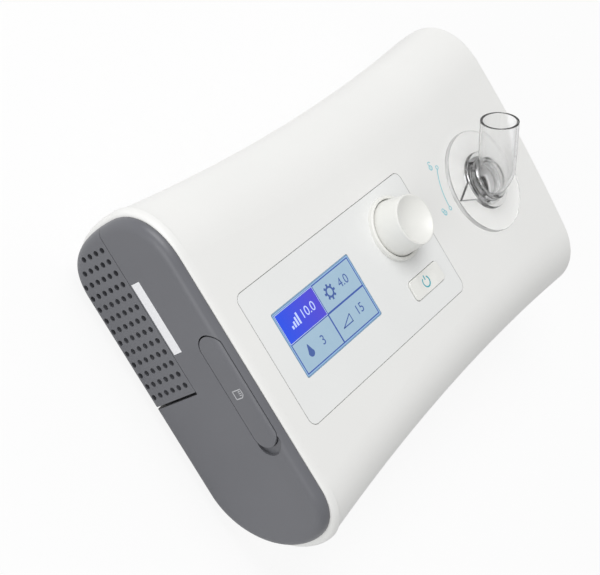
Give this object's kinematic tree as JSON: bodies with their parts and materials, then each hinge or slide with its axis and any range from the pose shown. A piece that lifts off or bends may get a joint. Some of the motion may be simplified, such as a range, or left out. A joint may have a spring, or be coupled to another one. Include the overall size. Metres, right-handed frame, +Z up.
{
  "type": "bedside positive airway pressure machine",
  "caption": "Low waisted bedside breathing-air machine with round-nosed sides, flush control panel, dial knob, clear outlet elbow, grille end cap and slide-out water chamber.",
  "frame": {"origin": "centre of the machine's length and depth, on the surface that its feet stand on", "axes": "+X along the case from the grey end cap to the water chamber's front, +Y to the rear, +Z up; the display reads from the front, -Y"},
  "size_m": [0.2904, 0.1942, 0.1144],
  "materials": {
    "case_white": "satin, warm white",
    "case_grey": "satin, dark grey",
    "panel_white": "semi-gloss white",
    "label_white": "blank white film",
    "screen": "clear window over a lit light blue display",
    "clear": "clear polycarbonate",
    "tub_clear": "clear smoke-free polycarbonate",
    "dark_plastic": "black moulded plastic",
    "inner_plastic": "grey moulded plastic",
    "rubber": "soft matt rubber",
    "foam": "open-cell foam and filter fleece",
    "board": "green circuit board",
    "lcd": "metal-framed display module",
    "steel": "bright steel",
    "heater": "anodised heater plate",
    "insulator": "heat-proof spacer ring",
    "impeller": "white moulded wheel"
  },
  "bodies": {
    "case": {"top_shell": "case_white", "base_tray": "case_white", "rubber_feet": "rubber", "case_screws": "steel", "left_end_cap": "case_grey", "label_strip": "label_white", "sd_door_pin": "steel", "sd_socket": "dark_plastic", "display_panel": "panel_white", "lcd_window": "screen", "lcd_module": "lcd", "lcd_posts": "dark_plastic", "knob_collar": "panel_white", "encoder_body": "dark_plastic", "power_switch": "dark_plastic", "main_board": "board", "board_screws": "steel", "board_parts": "dark_plastic", "outlet_port": "dark_plastic", "elbow_seal": "rubber", "heater_plate": "heater", "heater_insulator": "insulator", "volute_lower": "inner_plastic", "volute_upper": "inner_plastic", "blower_motor": "steel", "motor_bearings": "steel", "blower_mounts": "rubber", "outlet_duct": "inner_plastic", "duct_gasket": "rubber", "silencer_box": "inner_plastic", "silencer_foam": "foam", "intake_duct": "inner_plastic", "dc_inlet": "dark_plastic", "jack_bracket": "inner_plastic"},
    "knob_press": {"encoder_plunger": "steel"},
    "knob": {"knob": "panel_white", "encoder_shaft": "steel"},
    "power_button": {"power_button": "panel_white", "switch_plunger": "dark_plastic"},
    "elbow": {"outlet_elbow": "clear"},
    "card_door": {"sd_door": "case_grey"},
    "card": {"sd_card": "dark_plastic"},
    "filter": {"filter_cover": "case_grey", "filter_frame": "dark_plastic", "air_filter": "foam"},
    "chamber": {"chamber_tub": "tub_clear", "chamber_pan": "steel", "chamber_seal": "rubber", "chamber_lid": "inner_plastic", "chamber_front": "panel_white"},
    "impeller": {"impeller": "impeller", "motor_shaft": "steel"}
  },
  "joints": [
    {"name": "knob_press", "type": "slide", "parent": "case", "child": "knob_press", "axis": [0, 0, -1], "range_m": [0, 0.001], "stiffness_N_per_m": 1500, "springref_m": -0.0006},
    {"name": "knob_turn", "type": "hinge", "parent": "knob_press", "child": "knob", "pos_m": [0.003, 0.0088, 0.075], "axis": [0, 0, 1], "continuous": true},
    {"name": "power_press", "type": "slide", "parent": "case", "child": "power_button", "axis": [0, 0, -1], "range_m": [0, 0.0008], "stiffness_N_per_m": 1500, "springref_m": -0.0006},
    {"name": "elbow_turn", "type": "hinge", "parent": "case", "child": "elbow", "pos_m": [0.09055, -0.00275, 0.0738], "axis": [0, 0, 1], "range_deg": [-38.4, 0]},
    {"name": "card_door_swing", "type": "hinge", "parent": "case", "child": "card_door", "pos_m": [-0.14175, 0.015, 0.0639], "axis": [0, 0, -1], "range_deg": [0, 95]},
    {"name": "card_eject", "type": "slide", "parent": "case", "child": "card", "axis": [-1, 0, 0], "range_m": [0, 0.003]},
    {"name": "filter_pull", "type": "slide", "parent": "case", "child": "filter", "axis": [-1, 0, 0], "range_m": [0, 0.03]},
    {"name": "chamber_slide", "type": "slide", "parent": "case", "child": "chamber", "axis": [1, 0, 0], "range_m": [0, 0.1]},
    {"name": "impeller_spin", "type": "hinge", "parent": "case", "child": "impeller", "pos_m": [-0.02, -0.002, 0.0348], "axis": [0, 0, 1], "continuous": true}
  ]
}
